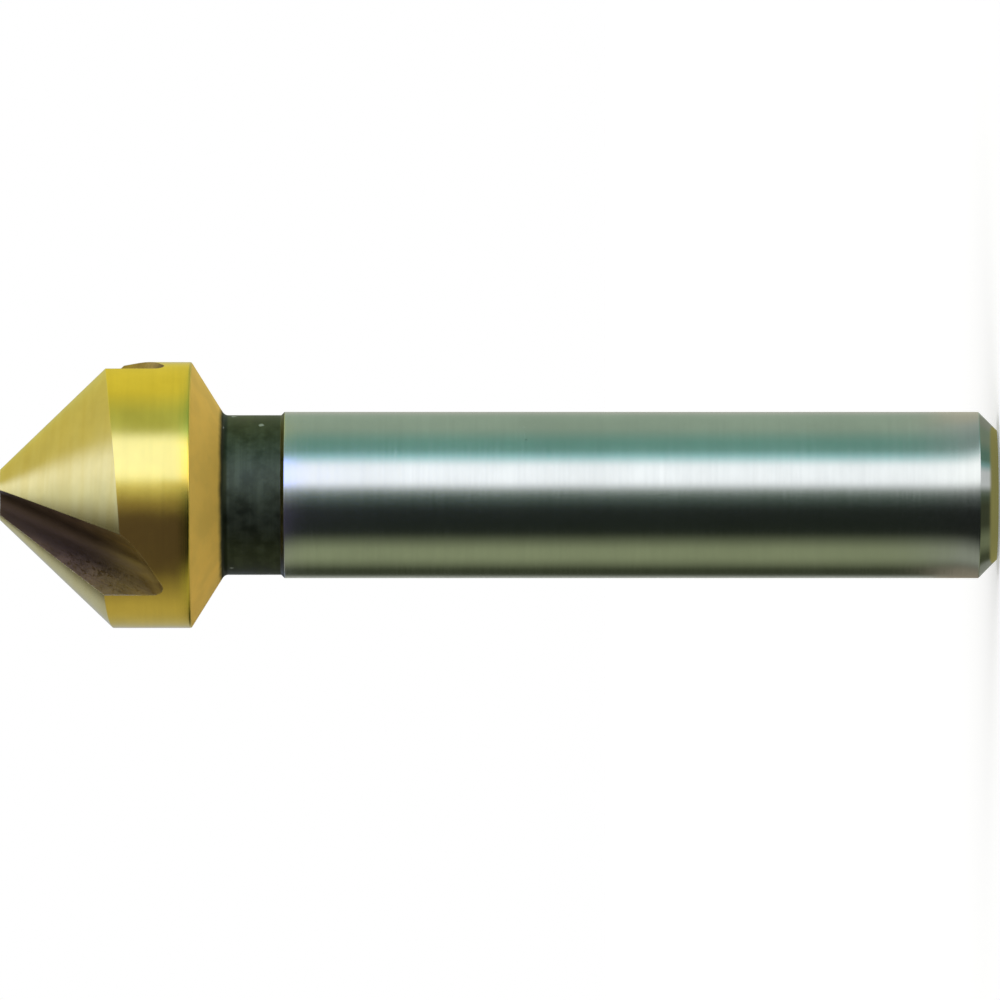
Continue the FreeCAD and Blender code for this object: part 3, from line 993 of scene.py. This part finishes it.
class COUNTERSINK_OT_set_stage(bpy.types.Operator):
    """Set the floor, the white surround, the tent that the bit mirrors, the lamp and the camera"""

    bl_idname = "countersink.set_stage"
    bl_label = "Set Stage"

    def execute(self, context):
        scene = context.scene
        sizes = scene.bit_stage
        scene.view_settings.view_transform = "Standard"
        self.make_surround(scene)
        self.make_floor(sizes)
        self.make_tent(sizes)
        self.make_lamp(scene, sizes)
        self.make_camera(scene, sizes)
        return {"FINISHED"}

    def make_surround(self, scene):
        """White where it is seen, and a plain pale light on the floor."""
        scene.world = bpy.data.worlds.new("surround")
        scene.world.use_nodes = True
        tree = scene.world.node_tree
        back = tree.nodes["Background"]
        strength = blend_value(tree, seen_rays(tree), SURROUND_LIGHT, 1.0)
        link_or_set(tree, back.inputs["Strength"], strength)
        back.inputs["Color"].default_value = (1.0, 1.0, 1.0, 1.0)

    def make_floor(self, sizes):
        """A round sheet of pale paper, which keeps the bit's shadow."""
        floor = ring_mesh("floor", [(radius, 0) for radius in FLOOR_RINGS], FLOOR_SIDES)
        material = bpy.data.materials.new("floor_paper")
        material.use_nodes = True
        tree = material.node_tree
        shader = tree.nodes["Principled BSDF"]
        place = tree.nodes.new("ShaderNodeTexCoord").outputs["Object"]
        grain = noise_at(tree, place, detail=3.0, scale=1500.0)
        colour = blend_colour(tree, grain, scaled(sizes.paper, 0.98), scaled(sizes.paper, 1.02))
        link_or_set(tree, shader.inputs["Base Color"], colour)
        shader.inputs["Roughness"].default_value = 0.9
        shader.inputs["Specular IOR Level"].default_value = 0.0
        shader.inputs["Emission Color"].default_value = (1.0, 1.0, 1.0, 1.0)
        glow = calc(tree, "MULTIPLY", seen_rays(tree), FLOOR_GLOW)
        link_or_set(tree, shader.inputs["Emission Strength"], glow)
        floor.data.materials.append(material)

    def make_tent(self, sizes):
        """What the polished metal mirrors: light and dark cards round the bit, and a light roof."""
        radius = sizes.tent_radius
        profile = [(out * MM, height * MM) for out, height in TENT_TABLE]
        profile += [(sizes.wall_radius, height * MM) for height in TENT_WALL]
        for degrees in TENT_DOME:
            slope = math.radians(degrees)
            out = radius * math.cos(slope) if degrees < 90 else 0
            profile.append((out, radius * math.sin(slope)))
        tent = ring_mesh("tent", profile, TENT_SIDES)
        tent.rotation_euler = (0.0, 0.0, sizes.camera_turn)
        tent.data.materials.append(self.make_tent_cloth(radius))
        tent.visible_camera = False
        tent.visible_shadow = False
        tent.visible_diffuse = False

    def make_tent_cloth(self, radius):
        """The tent's cards, as colours that glow."""
        material = bpy.data.materials.new("tent_cloth")
        material.use_nodes = True
        tree = material.node_tree
        tree.nodes.remove(tree.nodes["Principled BSDF"])
        parts = split(tree, tree.nodes.new("ShaderNodeTexCoord").outputs["Object"])
        out = from_axis(tree, parts)
        foot = fade(tree, out, *FOOT_WITHIN)
        turn = calc(tree, "ARCTAN2", parts["Y"], parts["X"])
        turn = calc(tree, "MULTIPLY", turn, calc(tree, "ADD", foot, 1.0))
        share = calc(tree, "ADD", calc(tree, "DIVIDE", turn, 2 * math.pi), 0.5, clamp=True)
        shank_light = row_of_cards(tree, share, SHANK_CARDS, 180)
        head_light = row_of_cards(tree, share, HEAD_CARDS, 180)
        at_head = fade(tree, parts["Z"], *HEAD_CARDS_FROM)
        level_light = blend_colour(tree, at_head, shank_light, head_light)

        along = calc(tree, "DIVIDE", parts["X"], radius)
        across = calc(tree, "DIVIDE", parts["Y"], radius)
        roof_share = calc(tree, "ADD", calc(tree, "MULTIPLY", across, 0.5), 0.5)
        roof_light = row_of_cards(tree, roof_share, ROOF_CARDS, 1)
        gap = calc(tree, "MULTIPLY", fade(tree, along, *GAP_BEHIND), fade(tree, across, *GAP_UNDER))
        roof = fade(tree, calc(tree, "DIVIDE", parts["Z"], radius), *ROOF_FROM)
        roof = calc(tree, "MULTIPLY", roof, calc(tree, "SUBTRACT", 1.0, gap))
        colour = blend_colour(tree, roof, level_light, roof_light)

        table = fade(tree, parts["Z"], *TABLE_UNDER)
        table = calc(tree, "MULTIPLY", table, fade(tree, out, *TABLE_FROM))
        grey = add_node(tree, "ShaderNodeRGBToBW", {"Color": colour}).outputs[0]
        colour = blend_colour(tree, calc(tree, "MULTIPLY", table, TABLE_GREYED), colour, grey)
        behind = fade(tree, calc(tree, "DIVIDE", parts["X"], out), *CARD_BEHIND)
        under = fade(tree, calc(tree, "DIVIDE", parts["Y"], out), *CARD_UNDER)
        card = blend_colour(tree, under, PALE_CARD, BROWN_CARD)
        colour = blend_colour(tree, calc(tree, "MULTIPLY", behind, table), colour, card)
        colour = blend_colour(tree, calc(tree, "MULTIPLY", foot, FOOT_SHADED), colour, FOOT_SHADE)
        colour = blend_colour(tree, fade(tree, out, *RIM_WITHIN), colour, RIM_SHADE)
        glow = add_node(tree, "ShaderNodeEmission", {"Color": colour})
        link_or_set(tree, tree.nodes["Material Output"].inputs["Surface"], glow.outputs[0])
        return material

    def make_lamp(self, scene, sizes):
        """One wide soft lamp from above, which lights the floor evenly."""
        light = bpy.data.lights.new("soft_lamp", "SUN")
        light.energy = sizes.lamp_strength
        light.angle = sizes.lamp_spread
        lamp = bpy.data.objects.new("soft_lamp", light)
        lamp.rotation_euler = LAMP_TILT
        lamp.visible_glossy = False
        scene.collection.objects.link(lamp)

    def make_camera(self, scene, sizes):
        """The camera: level with the bit's middle, and rolled so that the point is to the left."""
        back = Vector((math.cos(sizes.camera_turn), math.sin(sizes.camera_turn), 0.0))
        right = Vector((0.0, 0.0, -1.0))
        up = back.cross(right)
        middle = Vector((0.0, 0.0, BIT_LOW.z + BIT_LENGTH / 2 - sizes.frame_shift))
        middle -= up * sizes.frame_drop
        lens = bpy.data.cameras.new("camera")
        lens.sensor_width = SENSOR_WIDTH
        lens.lens = lens.sensor_width * sizes.camera_distance / sizes.frame_width
        lens.clip_start = 0.01
        lens.clip_end = 20.0
        camera = bpy.data.objects.new("camera", lens)
        pose = Matrix((right, up, back)).transposed().to_4x4()
        pose.translation = middle + back * sizes.camera_distance
        camera.matrix_world = pose
        scene.collection.objects.link(camera)
        scene.camera = camera


class COUNTERSINK_PT_sidebar(bpy.types.Panel):
    """Colours, sizes and steps of the countersink bit"""

    bl_idname = "COUNTERSINK_PT_sidebar"
    bl_label = "Countersink Bit"
    bl_space_type = "VIEW_3D"
    bl_region_type = "UI"
    bl_category = "Countersink"

    def draw(self, context):
        scene = context.scene
        groups = {"Shape": scene.bit_shape, "Finish": scene.bit_finish, "Stage": scene.bit_stage}
        for title, settings in groups.items():
            box = self.layout.box()
            box.label(text=title)
            for name in settings.__annotations__:
                box.prop(settings, name)
        for operator in OPERATORS:
            self.layout.operator(operator.bl_idname)


SETTINGS = (BitShapeSettings, BitFinishSettings, BitStageSettings)
OPERATORS = (COUNTERSINK_OT_make_bit, COUNTERSINK_OT_set_stage)


def register():
    """Make the settings, the operators and the panel known to Blender."""
    for kind in (*SETTINGS, *OPERATORS, COUNTERSINK_PT_sidebar):
        bpy.utils.register_class(kind)
    bpy.types.Scene.bit_shape = bpy.props.PointerProperty(type=BitShapeSettings)
    bpy.types.Scene.bit_finish = bpy.props.PointerProperty(type=BitFinishSettings)
    bpy.types.Scene.bit_stage = bpy.props.PointerProperty(type=BitStageSettings)


def unregister():
    """Take the settings, the operators and the panel out again."""
    del bpy.types.Scene.bit_shape
    del bpy.types.Scene.bit_finish
    del bpy.types.Scene.bit_stage
    for kind in reversed((*SETTINGS, *OPERATORS, COUNTERSINK_PT_sidebar)):
        bpy.utils.unregister_class(kind)


def main():
    register()
    bpy.ops.countersink.make_bit()
    bpy.ops.countersink.set_stage()


if __name__ == "__main__":
    main()
